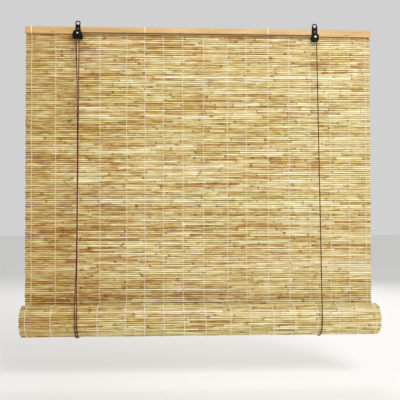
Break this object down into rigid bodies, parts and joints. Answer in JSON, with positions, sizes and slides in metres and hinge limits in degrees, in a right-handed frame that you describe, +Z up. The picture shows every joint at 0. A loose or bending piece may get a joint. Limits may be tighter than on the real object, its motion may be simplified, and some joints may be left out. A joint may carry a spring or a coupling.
{
  "type": "bamboo roll up blind",
  "caption": "Roll-up window blind of slender bamboo reeds bound with thread, hung from a wooden batten, its lower end rolled up and lifted by cords over pulley brackets.",
  "frame": {"origin": "midway between the centres of the two hanging eyes, on the rear face of the bracket plates", "axes": "+X along the blind's width, the front faces -Y, +Z up"},
  "size_m": [1, 0.1171, 0.8995],
  "materials": {
    "batten_wood": "bare straight-grained bamboo and soft wood",
    "rod_wood": "bare turned wood",
    "bamboo_reed": "natural reed, cream to orange brown, satin",
    "binding_thread": "undyed twisted cotton",
    "black_bracket": "black enamel on pressed steel",
    "bright_steel": "bright plated steel",
    "staple_steel": "dull steel wire",
    "sheave_nylon": "dark moulded nylon",
    "brown_cord": "twisted dark red-brown cord"
  },
  "bodies": {
    "headrail": {"front_slat": "batten_wood", "back_slat": "batten_wood", "batten_staples": "staple_steel", "batten_wrap_threads": "binding_thread", "hanging_reeds": "bamboo_reed", "hanging_threads": "binding_thread", "left_back_plate": "black_bracket", "left_divider_plate": "black_bracket", "left_front_plate": "black_bracket", "left_spacers": "bright_steel", "left_bracket_screw": "bright_steel", "left_axle_rivet": "bright_steel", "right_back_plate": "black_bracket", "right_front_plate": "black_bracket", "right_spacer": "bright_steel", "right_bracket_screw": "bright_steel", "right_axle_rivet": "bright_steel", "left_cord_back_leg": "brown_cord", "left_cord_front_leg": "brown_cord", "left_cord_over_sheave": "brown_cord", "right_cord_back_leg": "brown_cord", "right_cord_front_leg": "brown_cord", "right_cord_transfer": "brown_cord", "pull_strands": "brown_cord", "joining_knot": "brown_cord", "pull_cord_front": "brown_cord", "pull_cord_back": "brown_cord", "pull_cord_coil": "brown_cord", "coil_tie": "brown_cord", "cord_end_knots": "brown_cord", "cord_staples": "staple_steel"},
    "cord_slings": {"left_cord_sling": "brown_cord", "right_cord_sling": "brown_cord", "pull_cord_sling": "brown_cord"},
    "roll": {"rolled_mat": "bamboo_reed", "bottom_rod": "rod_wood"},
    "right_sheave": {"right_sheave": "sheave_nylon"},
    "left_rear_sheave": {"left_rear_sheave": "sheave_nylon"},
    "left_front_sheave": {"left_front_sheave": "sheave_nylon"}
  },
  "joints": [
    {"name": "roll_lift", "type": "slide", "parent": "headrail", "child": "cord_slings", "axis": [0, 0, 1], "range_m": [0, 0.68], "deforming": ["hanging_reeds", "hanging_threads", "left_cord_front_leg", "right_cord_front_leg", "left_cord_back_leg", "right_cord_back_leg", "pull_cord_front", "pull_cord_back"]},
    {"name": "roll_turn", "type": "hinge", "parent": "cord_slings", "child": "roll", "pos_m": [0, -0.0324, -0.8432], "axis": [1, 0, 0], "range_deg": [-721, 1]},
    {"name": "right_sheave_turn", "type": "hinge", "parent": "headrail", "child": "right_sheave", "pos_m": [0.342, -0.005, -0.033], "axis": [0, 1, 0], "continuous": true},
    {"name": "left_rear_sheave_turn", "type": "hinge", "parent": "headrail", "child": "left_rear_sheave", "pos_m": [-0.342, -0.005, -0.033], "axis": [0, 1, 0], "continuous": true},
    {"name": "left_front_sheave_turn", "type": "hinge", "parent": "headrail", "child": "left_front_sheave", "pos_m": [-0.342, -0.013, -0.033], "axis": [0, 1, 0], "continuous": true}
  ],
  "couplings": [
    {"joint": "roll_turn", "follows": "roll_lift", "rad_per_m": -18.48},
    {"joint": "right_sheave_turn", "follows": "roll_lift", "rad_per_m": -444.44},
    {"joint": "left_rear_sheave_turn", "follows": "roll_lift", "rad_per_m": -444.44},
    {"joint": "left_front_sheave_turn", "follows": "roll_lift", "rad_per_m": -444.44}
  ]
}
